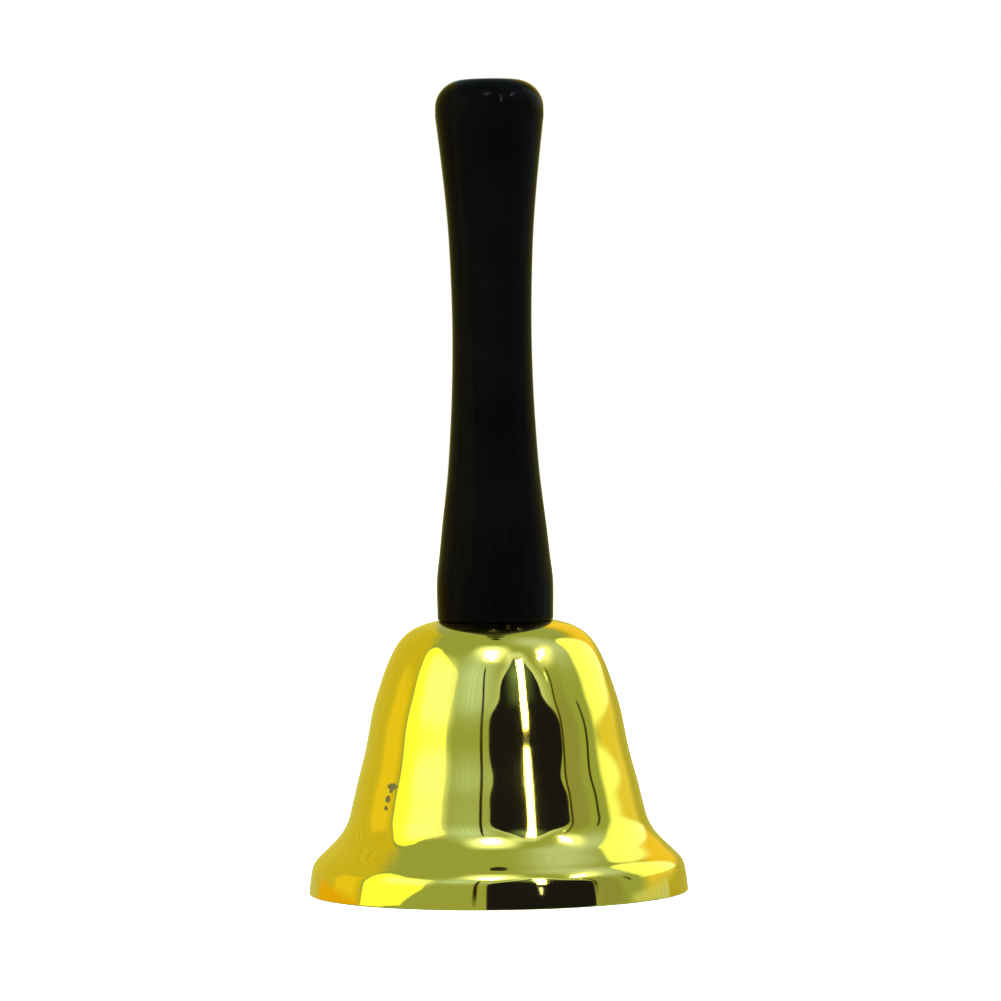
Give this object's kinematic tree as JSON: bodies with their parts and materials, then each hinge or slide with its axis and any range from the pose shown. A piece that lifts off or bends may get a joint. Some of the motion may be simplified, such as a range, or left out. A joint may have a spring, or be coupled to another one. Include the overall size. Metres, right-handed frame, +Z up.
{
  "type": "hand bell",
  "caption": "Small hand bell: a thin flared cup plated bright brass, a black turned handle with a rounded knob, and a ball clapper that swings inside on a link.",
  "frame": {"origin": "centre of the cup's mouth, on the plane that its rim stands on", "axes": "+Z up, along the handle; the clapper swings mostly along X"},
  "size_m": [0.0608, 0.0608, 0.13],
  "materials": {
    "brass_plate": "mirror-bright brass plating on pressed sheet",
    "black_lacquer": "turned wood under glossy black lacquer",
    "zinc_plate": "bright zinc-plated steel",
    "nickel_plate": "nickel-plated steel, dulled where it strikes"
  },
  "bodies": {
    "bell": {"bell_cup": "brass_plate", "handle": "black_lacquer", "eye_bolt": "zinc_plate", "hex_nut": "zinc_plate", "spring_washer": "zinc_plate", "flat_washer": "zinc_plate"},
    "link": {"clapper_link": "zinc_plate"},
    "clapper": {"clapper_rod": "zinc_plate", "clapper_ball": "nickel_plate"}
  },
  "joints": [
    {"name": "clapper_swing", "type": "hinge", "parent": "bell", "child": "link", "pos_m": [0, 0, 0.0306], "axis": [0, 1, 0], "range_deg": [-43, 43]},
    {"name": "clapper_sway", "type": "hinge", "parent": "link", "child": "clapper", "pos_m": [0, 0, 0.026], "axis": [1, 0, 0], "range_deg": [-15, 15]}
  ]
}
